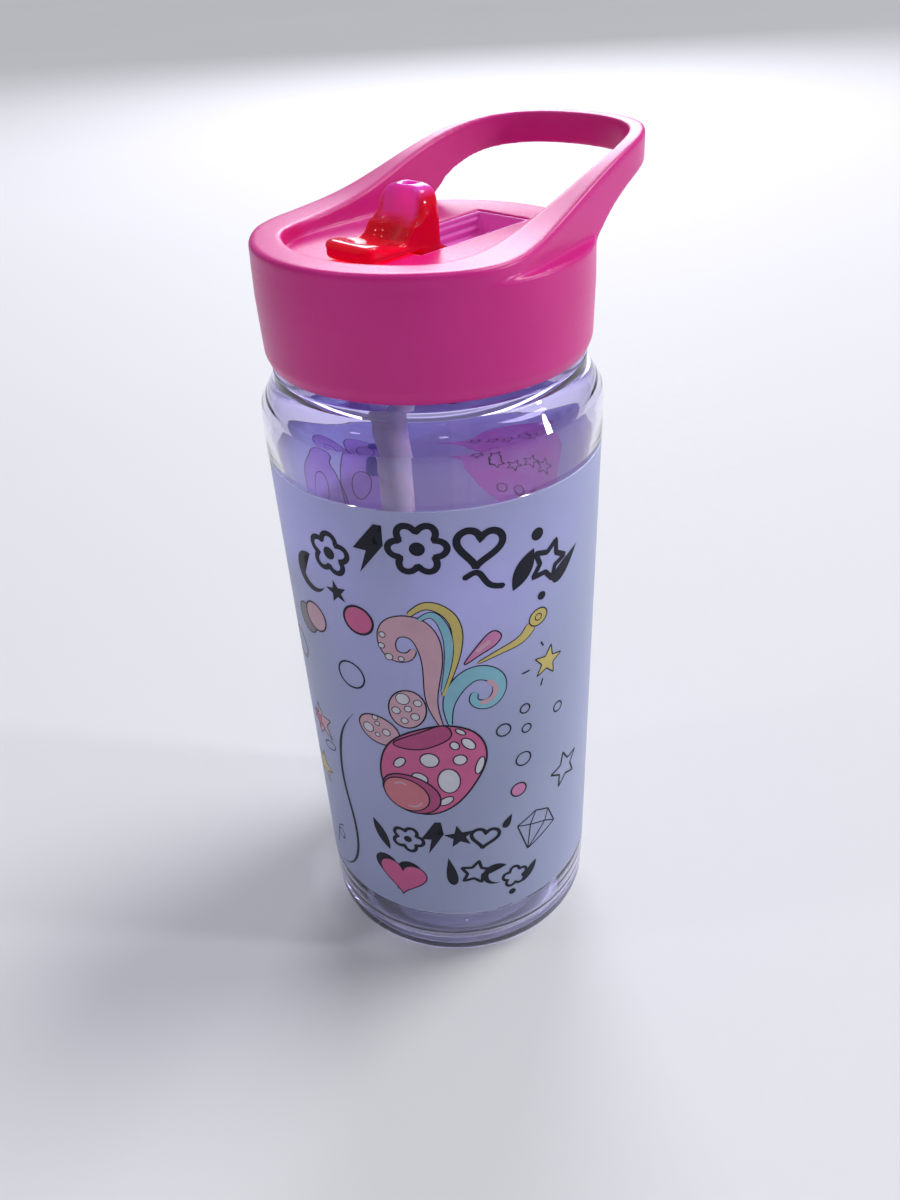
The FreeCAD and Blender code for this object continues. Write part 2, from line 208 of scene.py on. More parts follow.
def soften(name, pieces, voxel, passes, cutters=(), where=None, shape=None, sharp=None):
    """Joins closed meshes (in millimetres) into one skin with rounded edges.

    The cutters are closed meshes that are taken away, where gives each point's share of the
    rounding, and shape moves the points afterwards.
    """
    verts, faces = [], []
    for v, f in pieces:
        base = len(verts)
        verts.extend(v)
        faces.extend([[i + base for i in face] for face in f])
    mesh = bpy.data.meshes.new(name + "_raw")
    mesh.from_pydata(np.asarray(verts, float).tolist(), [], faces)
    raw = bpy.data.objects.new(name + "_raw", mesh)
    bpy.context.scene.collection.objects.link(raw)
    tools = []
    if cutters:
        voxel_skin(raw, voxel)
    for k, (cv, cf) in enumerate(cutters):
        cm = bpy.data.meshes.new(f"{name}_cut{k}")
        cm.from_pydata(np.asarray(cv, float).tolist(), [], cf)
        tool = bpy.data.objects.new(f"{name}_cut{k}", cm)
        bpy.context.scene.collection.objects.link(tool)
        cut = raw.modifiers.new("cut", "BOOLEAN")
        cut.operation = "DIFFERENCE"
        cut.solver = "EXACT"
        cut.object = tool
        tools.append(tool)
    voxel_skin(raw, voxel)
    bpy.context.view_layer.update()
    seen = raw.evaluated_get(bpy.context.evaluated_depsgraph_get())
    mesh = bpy.data.meshes.new_from_object(seen)
    mesh.name = name
    co = np.zeros(len(mesh.vertices) * 3)
    mesh.vertices.foreach_get("co", co)
    co = co.reshape(-1, 3)
    edges = np.zeros(len(mesh.edges) * 2, int)
    mesh.edges.foreach_get("vertices", edges)
    weight = where(co) if where else np.ones(len(co))
    co = relax(co, edges.reshape(-1, 2), passes, weight)
    if shape:
        co = shape(co)
    mesh.vertices.foreach_set("co", (co * MM).ravel())
    mesh.update()
    for o in [raw] + tools:
        bpy.data.objects.remove(o)
    return finish_object(name, mesh, sharp)


def cad_mesh(node):
    """Verts (millimetres) and faces of a CAD node, with doubled points merged."""
    edit = bmesh.new()
    edit.from_mesh(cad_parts[node].data)
    bmesh.ops.remove_doubles(edit, verts=edit.verts, dist=1e-6)
    edit.verts.index_update()
    verts = [tuple(c / MM for c in v.co) for v in edit.verts]
    faces = [[v.index for v in f.verts] for f in edit.faces]
    edit.free()
    return verts, faces


def box(x0, x1, y0, y1, z0, z1):
    """Verts and faces of a closed box."""
    verts = [(x, y, z) for x in (x0, x1) for y in (y0, y1) for z in (z0, z1)]
    faces = [[0, 1, 3, 2], [4, 6, 7, 5], [0, 4, 5, 1], [2, 3, 7, 6], [0, 2, 6, 4], [1, 5, 7, 3]]
    return verts, faces


def place(obj, material, slot_name, body, *nodes):
    """Gives a finished piece its look and its body, and hides the CAD nodes it stands for.
    slot_name is not used.
    """
    obj.data.materials.clear()
    obj.data.materials.append(material)
    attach(obj, body)
    if nodes:
        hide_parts(*nodes)
    return obj


# ---- materials -----------------------------------------------
GRAIN_HEIGHT = 0.00003                   # metres
NOISE_LOW, NOISE_HIGH = 0.3, 0.7         # the part of a noise texture's range that is used


def material(name, dark, light, rough, grain=900.0, grain_depth=0.02, cloud=40.0,
             rough_spread=0.05, **sockets):
    """Principled plastic with a slow colour drift, a varied gloss and a fine moulded grain.

    grain and cloud are the noise scales of the grain and the drift. The other arguments are
    inputs of the shader, with _ for a space.
    """
    mat = bpy.data.materials.new(name)
    mat.use_nodes = True
    tree = mat.node_tree
    shader = tree.nodes["Principled BSDF"]
    coords = tree.nodes.new("ShaderNodeTexCoord")
    drift = tree.nodes.new("ShaderNodeTexNoise")
    drift.inputs["Scale"].default_value = cloud
    drift.inputs["Detail"].default_value = 4.0
    tree.links.new(coords.outputs["Object"], drift.inputs["Vector"])
    ramp = tree.nodes.new("ShaderNodeValToRGB")
    ramp.color_ramp.elements[0].position = NOISE_LOW
    ramp.color_ramp.elements[0].color = (*dark, 1)
    ramp.color_ramp.elements[1].position = NOISE_HIGH
    ramp.color_ramp.elements[1].color = (*light, 1)
    tree.links.new(drift.outputs["Fac"], ramp.inputs["Fac"])
    tree.links.new(ramp.outputs["Color"], shader.inputs["Base Color"])
    gloss = tree.nodes.new("ShaderNodeMapRange")
    gloss.inputs["From Min"].default_value = NOISE_LOW
    gloss.inputs["From Max"].default_value = NOISE_HIGH
    gloss.inputs["To Min"].default_value = max(rough - rough_spread, 0)
    gloss.inputs["To Max"].default_value = rough + rough_spread
    fine = tree.nodes.new("ShaderNodeTexNoise")
    fine.inputs["Scale"].default_value = grain
    fine.inputs["Detail"].default_value = 3.0
    tree.links.new(coords.outputs["Object"], fine.inputs["Vector"])
    tree.links.new(fine.outputs["Fac"], gloss.inputs["Value"])
    tree.links.new(gloss.outputs["Result"], shader.inputs["Roughness"])
    if grain_depth:
        bump = tree.nodes.new("ShaderNodeBump")
        bump.inputs["Strength"].default_value = grain_depth
        bump.inputs["Distance"].default_value = GRAIN_HEIGHT
        tree.links.new(fine.outputs["Fac"], bump.inputs["Height"])
        tree.links.new(bump.outputs["Normal"], shader.inputs["Normal"])
    for key, value in sockets.items():
        shader.inputs[key.replace("_", " ")].default_value = value
    return mat


def let_lamps_through(mat, tint):
    """Lets lamp light pass through clear plastic onto what is inside and behind it."""
    tree = mat.node_tree
    shader = tree.nodes["Principled BSDF"]
    output = next(n for n in tree.nodes if n.type == "OUTPUT_MATERIAL")
    path = tree.nodes.new("ShaderNodeLightPath")
    pane = tree.nodes.new("ShaderNodeBsdfTransparent")
    pane.inputs["Color"].default_value = (*tint, 1)
    mix = tree.nodes.new("ShaderNodeMixShader")
    tree.links.new(path.outputs["Is Shadow Ray"], mix.inputs[0])
    tree.links.new(shader.outputs["BSDF"], mix.inputs[1])
    tree.links.new(pane.outputs["BSDF"], mix.inputs[2])
    tree.links.new(mix.outputs["Shader"], output.inputs["Surface"])


def place_sockets(mat):
    """Sockets X, Y and Z of a point's place on the object, in metres."""
    tree = mat.node_tree
    coords = next(n for n in tree.nodes if n.type == "TEX_COORD")
    split = tree.nodes.new("ShaderNodeSeparateXYZ")
    tree.links.new(coords.outputs["Object"], split.inputs["Vector"])
    return split.outputs


def fade(mat, value, at_none, at_full):
    """Socket that goes from 0 to 1 as the value goes from at_none to at_full."""
    node = mat.node_tree.nodes.new("ShaderNodeMapRange")
    node.inputs["From Min"].default_value = at_none
    node.inputs["From Max"].default_value = at_full
    mat.node_tree.links.new(value, node.inputs["Value"])
    return node.outputs["Result"]


def calculate(mat, operation, *values):
    """Socket of a Math node."""
    node = mat.node_tree.nodes.new("ShaderNodeMath")
    node.operation = operation
    for value, socket in zip(values, node.inputs):
        mat.node_tree.links.new(value, socket)
    return node.outputs["Value"]


def mix_in(mat, share, colour):
    """Mixes a colour into the base colour, by the share that a socket gives."""
    tree = mat.node_tree
    base = tree.nodes["Principled BSDF"].inputs["Base Color"]
    mix = tree.nodes.new("ShaderNodeMix")
    mix.data_type = "RGBA"
    plain, tinted = (socket for socket in mix.inputs if socket.type == "RGBA")
    tree.links.new(share, mix.inputs[0])
    tree.links.new(base.links[0].from_socket, plain)
    tinted.default_value = (*colour, 1)
    tree.links.new(next(socket for socket in mix.outputs if socket.type == "RGBA"), base)


def paint_light_between(mat, colour, at_none, at_full):
    """Paints light into the base colour, a colour for the film's light seen through the clear wall,
    fading in from one height to another (metres).
    """
    mix_in(mat, fade(mat, place_sockets(mat)["Z"], at_none, at_full), colour)


clear_mat = material("clear_body", (0.92, 0.91, 0.975), (0.94, 0.93, 0.985), 0.02, grain=300.0,
                     grain_depth=0.01, rough_spread=0.012, Transmission_Weight=1.0, IOR=1.53)
let_lamps_through(clear_mat, (0.93, 0.93, 0.98))
paint_light_between(clear_mat, (0.7, 0.65, 0.94), 0.134, 0.143)        # painted violet light of the film seen through the shoulder and neck
paint_light_between(clear_mat, (0.76, 0.76, 0.95), 0.0165, 0.0135)     # painted lilac light of the film's glow falling through the base
film_mat = material("film", (0.325, 0.365, 0.575), (0.355, 0.395, 0.61), 0.4, grain=2500.0,
                    grain_depth=0.04, cloud=25.0, Subsurface_Weight=1.0, Subsurface_Scale=0.0005,
                    Subsurface_Radius=(1.3, 1.05, 1.3))
cap_mat = material("cap_pink", (0.66, 0.016, 0.25), (0.71, 0.02, 0.28), 0.33, grain=2200.0,
                   grain_depth=0.12, cloud=60.0, Subsurface_Weight=0.2, Subsurface_Scale=0.003,
                   Subsurface_Radius=(1.0, 0.25, 0.5), Specular_IOR_Level=0.4)
tray_mat = material("tray_magenta", (0.98, 0.2, 0.74), (0.99, 0.27, 0.8), 0.08, grain=400.0,
                    grain_depth=0.03, IOR=1.5, Subsurface_Weight=0.15,
                    Subsurface_Scale=0.001, Subsurface_Radius=(0.5, 0.2, 0.5))
silicone_mat = material("silicone", (0.8, 0.8, 0.82), (0.86, 0.86, 0.88), 0.45, grain=900.0,
                        grain_depth=0.05, Subsurface_Weight=0.3, Subsurface_Scale=0.002)
straw_mat = material("straw_pink", (0.98, 0.6, 0.8), (0.99, 0.68, 0.86), 0.3, grain=200.0,
                     grain_depth=0.01, Subsurface_Weight=0.8, Subsurface_Scale=0.002)


def spout_material():
    """Clear red plastic with a painted magenta glow on the thin mouthpiece, for light shining
    through it.
    """
    mat = material("spout_red", (0.68, 0.001, 0.03), (0.76, 0.002, 0.04), 0.06, grain=500.0,
                   grain_depth=0.03, rough_spread=0.02, Transmission_Weight=0.3, IOR=1.42,
                   Subsurface_Weight=0.8, Subsurface_Scale=0.007,
                   Subsurface_Radius=(1.0, 0.15, 0.3), Specular_IOR_Level=0.32)
    let_lamps_through(mat, (0.9, 0.06, 0.16))
    place_of = place_sockets(mat)
    inside_edges = fade(mat, calculate(mat, "ABSOLUTE", place_of["X"]), 0.0052, 0.0038)
    above_ledge = fade(mat, place_of["Z"], 0.1722, 0.1740)
    # Painted glow: magenta above the ledge for light shining through the thin mouthpiece.
    mix_in(mat, calculate(mat, "MULTIPLY", inside_edges, above_ledge), (1.0, 0.11, 0.74))
    return mat


spout_mat = spout_material()


def ink(name, colour, gloss=0.5):
    """Printed colour that light doesn't pass through."""
    darker = tuple(c * 0.9 for c in colour)
    return material("ink_" + name, darker, colour, 0.4, grain=2500.0, grain_depth=0.03, cloud=300.0,
                    Specular_IOR_Level=gloss)


def clear_ink(name, colour):
    """Coloured layer on the hidden side of the film, which the light shines through."""
    paler = tuple(0.6 * c + 0.4 for c in colour)
    mat = material("ink_" + name, colour, paler, 0.12, grain=900.0, grain_depth=0.02, cloud=150.0,
                   Transmission_Weight=1.0, IOR=1.08)
    let_lamps_through(mat, paler)
    return mat


INKS = {
    "splash": clear_ink("splash", (0.97, 0.5, 0.76)),
    "violet": clear_ink("violet", (0.86, 0.62, 0.9)),
    "indigo": clear_ink("indigo", (0.35, 0.3, 0.75)),
    "line": ink("line", (0.008, 0.009, 0.022), 0.2),
    "pink": ink("pink", (0.62, 0.1, 0.28)),
    "deep": ink("deep", (0.45, 0.05, 0.2)),
    "blush": ink("blush", (0.62, 0.36, 0.45)),
    "rose": ink("rose", (0.6, 0.2, 0.42)),
    "coral": ink("coral", (0.62, 0.17, 0.22)),
    "yellow": ink("yellow", (0.62, 0.5, 0.14)),
    "teal": ink("teal", (0.22, 0.5, 0.62)),
    "white": ink("white", (0.66, 0.64, 0.72)),
    "slate": ink("slate", (0.18, 0.16, 0.19)),
}


# ---- bottle body ---------------------------------------------
RIDGE_HALF, RIDGE_FLANK = 0.8, 0.35      # half the ridge's width, and its sloping side
RIDGE_RUN_IN = 0.04                      # in turns, at each end of the ridge
ROW_STEP = 0.35                          # between the rows of a threaded wall


def thread(radius, low, high, start_z, depth):
    """Bump for lathe: a helical ridge on the wall of one radius between two heights.

    It starts at angle 0 and height start_z. A depth below 0 makes it stand inwards.
    """
    def bump(angles, r, z):
        if abs(r - radius) > 0.01 or not low < z < high:
            return 0
        out = np.zeros_like(angles)
        for turn in (0, 1):
            share = angles / TURN + turn
            from_mid = np.abs(z - start_z - PITCH * share)
            rise = np.clip((RIDGE_HALF - from_mid) / RIDGE_FLANK, 0, 1)
            run = np.clip(np.minimum(share, THREAD_TURNS - share) / RIDGE_RUN_IN, 0, 1)
            out = np.maximum(out, rise * run)
        return depth * out
    return bump


NECK_R, BORE_R = 29.0, 27.0
NECK_LOW = 147.0
COLLAR_R = 31.6
WIDEST_R, WIDEST_TOP = 35.1, 135.1
LOW_CREASE, HIGH_CREASE = (34.75, 138.6), (31.75, 143.8)

# Outside, from the middle of the base up to the neck.
outer_low = [(0, 5.9), (3, 5.9), (8, 5.9)]
outer_low += arc3((8, 5.9), (18.5, 3.7), (26.0, 0.25), 20)[1:]
outer_low += rounded([(26.0, 0.25, 0), (26.2, 0, 0.3), (29.9, 0, 0)])[1:]
outer_low += arc3((29.9, 0), (32.163, 0.937), (33.1, 3.2), 14)[1:]
outer_low += rounded([(33.1, 3.2, 0), (32.95, 6.1, 0.8), (33.3, 7.1, 0.8), (33.42, 15.1, 0.15),
                      (33.2, FILM_LOW, 0.1), (34.8, FILM_HIGH, 0.1), (WIDEST_R, 128.1, 0.2),
                      (WIDEST_R, WIDEST_TOP, 0)])[1:]
shoulder = [(WIDEST_R, WIDEST_TOP), (35.04, 136.9), LOW_CREASE]
slope = [LOW_CREASE, (34.0, 139.9), (32.85, 141.9), HIGH_CREASE]
outer_mid = [tuple(p) for p in np.vstack([spline(shoulder, 12)[1:], spline(slope, 16)[1:]])]
outer_mid += rounded([(*HIGH_CREASE, 0), (COLLAR_R, 144.1, 0.1), (COLLAR_R, 146.0, 0.5),
                      (NECK_R, 146.4, 0.4), (NECK_R, NECK_LOW, 0)])[1:-1]
neck_rows = [(NECK_R, z) for z in np.arange(NECK_LOW, 161.3, ROW_STEP)]

# Inside, from the rim down to the middle of the base.
inner_top = rounded([(NECK_R, 161.5, 0), (28.6, 162.3, 0.4), (27.2, 162.3, 0.4),
                     (BORE_R, 161.6, 0.3), (BORE_R, 148.0, 0)])
inner_curve = [(BORE_R, 148.0), (BORE_R, NECK_LOW), (27.5, 145.2), (29.4, 142.6), (31.7, 140.0),
               (32.9, 137.0), (33.2, 133.5), (33.15, 130.0), (33.0, 127.0)]
inner_mid = [tuple(p) for p in spline(inner_curve, 60)][1:]
inner_mid += [(32.6, 97.0), (31.95, 50.0), (31.4, 8.5)]
inner_low = arc3((31.4, 8.5), (30.0, 5.1), (26.6, 3.5), 10)[1:]
inner_low += arc3((26.6, 3.5), (18.5, 6.0), (8, 7.8), 12)[1:]
inner_low += [(3, 7.8), (0, 7.8)]

bottle_profile = outer_low + outer_mid + neck_rows + inner_top + inner_mid + inner_low
verts, faces = lathe(bottle_profile, WALL_SEGMENTS, thread(NECK_R, NECK_LOW, 161, 151.1, 1.0))
bottle = make_object("look_bottle_body", verts, faces, sharp=math.radians(16))
place(bottle, clear_mat, "clear_body", "bottle", "bottle_body")


# ---- printed film --------------------------------------------
def film_r(z):
    """Outside radius of the film at a height."""
    return FILM_LOW_R + (z - FILM_LOW) / (FILM_HIGH - FILM_LOW) * (FILM_HIGH_R - FILM_LOW_R)


rows = np.linspace(FILM_LOW, FILM_HIGH, 60)
film_profile = [(film_r(z) - FILM_T + FILM_GAP, z) for z in rows]
film_profile += [(film_r(z), z) for z in rows[::-1]]
verts, faces = lathe(film_profile, WALL_SEGMENTS, closed=True)
film = make_object("look_print_film", verts, faces, sharp=math.radians(30))
place(film, film_mat, "film", "bottle", "print_film")


# ---- print on the film ---------------------------------------
# The print is drawn flat, in millimetres: u runs round the film from its front, z is height.
LAYER = 0.012                            # from one layer of ink to the next
INK_T = 0.8 * LAYER
INK_LIFT = 0.01                          # of the lowest layer above the film
STRIP = 1.0                              # widest strip of a filled shape
STROKE_STEP = 0.35                       # between the points of a line
drawn = {key: ([], []) for key in INKS}


def wall_point(u, z, lift):
    """Point on the round wall for a point of the flat print."""
    r = film_r(z) + lift
    a = PRINT_FRONT + u / PRINT_R
    return (r * math.cos(a), r * math.sin(a), z)


def add_patch(colour, layer, points, faces2d, edges2d):
    """Closed thin patch from a flat mesh in (u, z). Layers below 0 lie under the film."""
    verts, faces = drawn[colour]
    base = len(verts)
    low = INK_LIFT + LAYER * layer
    if layer < 0:
        low = -FILM_T + FILM_GAP + LAYER * layer
    n = len(points)
    verts.extend(wall_point(u, z, low + INK_T) for u, z in points)
    verts.extend(wall_point(u, z, low) for u, z in points)
    for f in faces2d:
        faces.append([base + i for i in f])
        faces.append([base + n + i for i in reversed(f)])
    for a, b in edges2d:
        faces.append([base + a, base + n + a, base + n + b, base + b])


def fill(colour, layer, outline):
    """Filled shape, cut into narrow strips so that it follows the round wall."""
    edit = bmesh.new()
    loop = [edit.verts.new((u, z, 0)) for u, z in outline]
    edit.faces.new(loop)
    bmesh.ops.triangulate(edit, faces=edit.faces[:])
    low = min(p[0] for p in outline)
    high = max(p[0] for p in outline)
    for cut in np.arange(math.floor(low) + 1, high, STRIP):
        everything = edit.verts[:] + edit.edges[:] + edit.faces[:]
        bmesh.ops.bisect_plane(edit, geom=everything, plane_co=(cut, 0, 0), plane_no=(1, 0, 0),
                               dist=1e-5)
    edit.verts.index_update()
    bmesh.ops.recalc_face_normals(edit, faces=edit.faces)
    points = [(v.co.x, v.co.y) for v in edit.verts]
    faces2d = [[v.index for v in f.verts] for f in edit.faces]
    edges2d = [(e.verts[0].index, e.verts[1].index) for e in edit.edges if e.is_boundary]
    edit.free()
    add_patch(colour, layer, points, faces2d, edges2d)


def stroke(colour, layer, path, width, loop=False, ends=1.0):
    """Line of ink along a path. The width is one number, or several spread along the path.

    With ends at 1 the ends are round. Below 1 they taper over the rest of the length.
    """
    p = np.asarray(path, float)
    ahead = np.roll(p, -1, 0) - p
    length = np.linalg.norm(ahead, axis=1)
    if not loop:
        length = length[:-1]
    steps = max(int(length.sum() / STROKE_STEP), 6)
    track = np.concatenate([[0], np.cumsum(length)])
    q = np.vstack([p, p[:1]]) if loop else p
    spots = np.linspace(0, track[-1], steps + 1)
    if loop:
        spots = spots[:-1]
    pts = np.stack([np.interp(spots, track, q[:, 0]), np.interp(spots, track, q[:, 1])], 1)
    if loop:
        along = np.roll(pts, -1, 0) - np.roll(pts, 1, 0)
    else:
        along = np.gradient(pts, axis=0)
    along /= np.maximum(np.linalg.norm(along, axis=1), 1e-9)[:, None]
    side = np.stack([-along[:, 1], along[:, 0]], 1)
    widths = np.atleast_1d(width)
    half = np.interp(spots / track[-1], np.linspace(0, 1, len(widths)), widths) / 2
    if not loop:
        reach = half[-1] if ends == 1.0 else track[-1] * (1 - ends)
        near = np.minimum(spots, track[-1] - spots) / max(reach, 1e-6)
        taper = np.clip(near, 0, 1)
        if ends == 1.0:
            taper = np.sqrt(1 - (1 - taper) ** 2)
        half = half * np.maximum(taper, 0.12)
    # Wide strokes get more rows across, so that they bend with the wall.
    rows_across = int(np.ceil(2 * half.max())) + 1
    rows = [pts + side * (half * share)[:, None] for share in np.linspace(1, -1, rows_across)]
    points = [tuple(v) for v in np.vstack(rows)]
    n = len(pts)
    last = n * (rows_across - 1)
    spans = range(n) if loop else range(n - 1)
    faces2d = [[c + i, c + (i + 1) % n, c + n + (i + 1) % n, c + n + i]
               for c in range(0, last, n) for i in spans]
    edges2d = [(i, (i + 1) % n) for i in spans]
    edges2d += [(last + (i + 1) % n, last + i) for i in spans]
    if not loop:
        for c in range(0, last, n):
            edges2d += [(c + n, c), (c + n - 1, c + 2 * n - 1)]
    add_patch(colour, layer, points, faces2d, edges2d)


def turned(u, z, x, y, tilt):
    """Points (x, y) turned by tilt degrees and moved to (u, z)."""
    c, s = math.cos(math.radians(tilt)), math.sin(math.radians(tilt))
    return [(u + c * i - s * j, z + s * i + c * j) for i, j in zip(x, y)]


def oval(u, z, a, b=None, tilt=0.0, count=40):
    b = a if b is None else b
    t = np.linspace(0, TURN, count, endpoint=False)
    return turned(u, z, a * np.cos(t), b * np.sin(t), tilt)


def star(u, z, r, tilt=0.0, inner=0.42):
    out = []
    for k in range(10):
        a = math.radians(90 + tilt + 36 * k)
        d = r if k % 2 == 0 else r * inner
        out.append((u + d * math.cos(a), z + d * math.sin(a)))
    return out


def heart(u, z, size, tilt=0.0, count=48):
    t = np.linspace(0, TURN, count, endpoint=False)
    x = 16 * np.sin(t) ** 3 / 32 * size
    y = (13 * np.cos(t) - 5 * np.cos(2 * t) - 2 * np.cos(3 * t) - np.cos(4 * t)) / 32 * size
    return turned(u, z, x, y, tilt)


def flower(u, z, r, petals=5, tilt=0.0, count=90):
    t = np.linspace(0, TURN, count, endpoint=False)
    d = r * (0.62 + 0.38 * np.abs(np.cos(petals * t / 2)) ** 0.8)
    return turned(u, z, d * np.cos(t), d * np.sin(t), tilt)


def drop(u, z, length, width, tilt=0.0, count=40):
    t = np.linspace(0, TURN, count, endpoint=False)
    return turned(u, z, width / 2 * np.sin(t) * np.abs(np.sin(t / 2)) ** 1.5 * 1.3,
                  length / 2 * np.cos(t), tilt)


def leaf(u, z, length, width, tilt=0.0, count=40):
    t = np.linspace(0, TURN, count, endpoint=False)
    return turned(u, z, width / 2 * np.sin(t) * np.abs(np.sin(t)), length / 2 * np.cos(t), tilt)


def crescent(u, z, r, tilt=0.0, count=30):
    a = np.radians(np.linspace(52, 308, count))
    b = np.radians(np.linspace(292, 68, count)[1:-1])
    x = np.concatenate([r * np.cos(a), 0.3 * r + 0.84 * r * np.cos(b)])
    y = np.concatenate([r * np.sin(a), 0.84 * r * np.sin(b)])
    return turned(u, z, x, y, tilt)


def bolt(u, z, height, tilt=0.0):
    x = np.array([0.12, -0.26, -0.02, -0.14, 0.28, 0.04, 0.26]) * height
    y = np.array([0.5, -0.04, -0.04, -0.5, 0.12, 0.12, 0.5]) * height
    return turned(u, z, x, y, tilt)


def spiral(u, z, r0, r1, start, turns, count=70):
    t = np.linspace(0, 1, count)
    r = r0 + (r1 - r0) * t
    a = np.radians(start) + TURN * turns * t
    return [(u + i * math.cos(j), z + i * math.sin(j)) for i, j in zip(r, a)]


def through(points, count=60, loop=False):
    """Smooth path through points of the flat print."""
    path = spline(points, count + 1 if loop else count, loop)
    return [tuple(q) for q in (path[:-1] if loop else path)]


def outlined(colour, shape, width=0.35, layer=1):
    """Filled shape with a dark line round it."""
    fill(colour, layer, shape)
    stroke("line", layer + 1, shape, width, loop=True)


# Arch of bold doodles over the picture.
fill("line", 2, crescent(-30.4, 108.6, 4.6, 24))
stroke("line", 2, flower(-23.6, 115.6, 4.6, 5, 12), 1.2, loop=True)
fill("line", 2, oval(-23.6, 115.6, 1.4))
fill("line", 2, star(-23.0, 106.6, 2.8, 12))
fill("line", 2, bolt(-14.4, 119.0, 11.6, -4))
stroke("line", 2, flower(-4.6, 119.8, 5.6, 6, 0), 1.35, loop=True)
fill("line", 2, oval(-4.6, 119.8, 1.5))
stroke("line", 2, heart(7.0, 119.4, 9.0, -10), 1.5, loop=True)
stroke("line", 2, through([(3.6, 112.4), (6.4, 113.6), (8.6, 110.6), (12.0, 109.4)]), 1.3)
fill("line", 2, oval(19.2, 118.6, 1.4))
fill("line", 2, leaf(16.0, 111.6, 9.6, 4.0, -30))
stroke("line", 2, star(22.2, 111.2, 4.6, -24, 0.5), 1.2, loop=True)
fill("line", 2, oval(20.4, 103.8, 1.0))
fill("line", 2, drop(27.2, 108.6, 9.6, 3.6, -52))

# Circles on the left.
outlined("slate", oval(-34.8, 95.0, 3.6), 0.3, 0)
outlined("blush", oval(-31.2, 97.0, 3.5), 0.4, 2)
outlined("pink", oval(-18.4, 101.2, 3.4), 0.55)
stroke("line", 2, oval(-22.1, 85.9, 3.4), 0.42, loop=True)

# Curls that rise from the picture.
scroll_out = through([(-2.2, 75.6), (-3.9, 82.0), (-3.5, 90.0), (-3.7, 96.6), (-6.4, 101.2),
                      (-10.6, 101.0), (-12.4, 97.4), (-11.0, 94.2), (-8.0, 94.2), (-6.8, 96.2)])
scroll_widths = np.array([0.5, 1.6, 2.5, 3.2, 4.0, 4.8, 5.2, 4.6, 3.6, 2.4, 1.0])
stroke("line", 0, scroll_out, scroll_widths + 0.55)
stroke("blush", 1, scroll_out, scroll_widths)
for du, dz, dr in ((-13.2, 99.0, 0.7), (-13.6, 96.2, 0.7), (-12.2, 93.6, 0.85),
                   (-9.6, 93.4, 0.65)):
    outlined("white", oval(du, dz, dr), 0.2, 2)
arch_line = through([(-7.4, 104.4), (-3.6, 106.8), (0.4, 104.6), (2.0, 98.0), (0.6, 91.0),
                     (-1.6, 84.0)])
arch_widths = np.array([0.8, 1.6, 1.9, 1.9, 1.6, 1.1, 0.5])
stroke("line", 0, arch_line, arch_widths + 0.5)
stroke("yellow", 1, arch_line, arch_widths)
inner_arch = through([(-5.6, 103.2), (-2.8, 104.6), (-0.6, 101.6), (0.2, 96.0), (-0.6, 90.0),
                      (-1.8, 85.0)])
stroke("line", 1, inner_arch, arch_widths + 0.2)
stroke("teal", 2, inner_arch, arch_widths - 0.2)
wave = through([(-0.4, 75.8), (-0.6, 81.0), (1.4, 86.2), (5.6, 89.2), (9.6, 87.2), (10.2, 83.2),
                (7.4, 80.6), (4.8, 82.0), (5.2, 84.4)])
wave_widths = np.array([0.5, 1.8, 2.9, 3.4, 3.4, 3.0, 2.6, 2.0, 1.2])
stroke("line", 0, wave, wave_widths + 0.55)
stroke("teal", 1, wave, wave_widths)
stroke("blush", 2, through([(6.0, 81.2), (8.6, 82.0), (9.4, 84.8), (7.8, 86.8)]), 1.1)
pink_drop = through([(3.2, 91.8), (6.6, 97.0), (9.8, 99.0), (11.0, 97.6), (9.8, 95.6),
                     (6.2, 93.6)], 40, True)
outlined("rose", pink_drop, 0.3)
stroke("blush", 3, [(5.6, 94.6), (8.6, 96.9)], 0.9)
tail = through([(5.6, 91.6), (11.6, 93.8), (16.0, 95.4), (18.2, 98.0)])
tail_widths = np.array([0.3, 0.8, 1.3, 1.9, 2.6])
stroke("line", 0, tail, tail_widths + 0.5)
stroke("yellow", 1, tail, tail_widths)
outlined("yellow", oval(19.6, 98.9, 2.3, 2.0, 20), 0.3)
stroke("line", 3, oval(19.6, 98.9, 0.8), 0.25, loop=True)

# Yellow star with short rays.
outlined("yellow", star(22.4, 86.2, 4.1, -12), 0.3)
stroke("line", 2, [(15.4, 85.9), (17.6, 86.1)], 0.4)
stroke("line", 2, [(20.3, 92.3), (21.1, 90.8)], 0.4)
stroke("line", 2, [(21.0, 82.4), (20.4, 80.4)], 0.4)

# Spotted ball, a coral ball in front of it, and two spotted petals.
petal_a = oval(-9.4, 80.0, 4.1, 5.2, -12)
petal_b = oval(-16.6, 72.6, 5.0, 3.9, -18)
outlined("blush", petal_a, 0.35)
outlined("blush", petal_b, 0.35)
for du, dz, dr in ((-10.2, 82.8, 1.5), (-11.9, 79.4, 0.95), (-9.2, 80.2, 0.8), (-7.8, 78.2, 0.95),
                   (-10.2, 76.8, 0.8), (-7.0, 82.0, 0.9), (-19.2, 72.6, 1.3), (-16.8, 74.4, 0.6),
                   (-14.8, 72.4, 0.95), (-17.0, 71.2, 0.6), (-17.2, 76.0, 0.7)):
    outlined("white", oval(du, dz, dr), 0.2, 2)
ball = through([(-1.4, 75.9), (-7.8, 74.4), (-14.0, 70.0), (-17.0, 63.4), (-16.8, 56.4),
                (-12.8, 51.0), (-7.0, 49.4), (-1.0, 52.0), (4.4, 58.8), (7.1, 66.0), (4.8, 73.2)],
               80, True)
outlined("pink", ball, 0.45, 3)
band = through([(-13.4, 69.6), (-9.6, 72.6), (-5.0, 75.0), (-1.4, 75.8), (-0.3, 73.6), (-3.4, 70.6),
                (-9.0, 68.8)], 50, True)
outlined("deep", band, 0.35, 5)
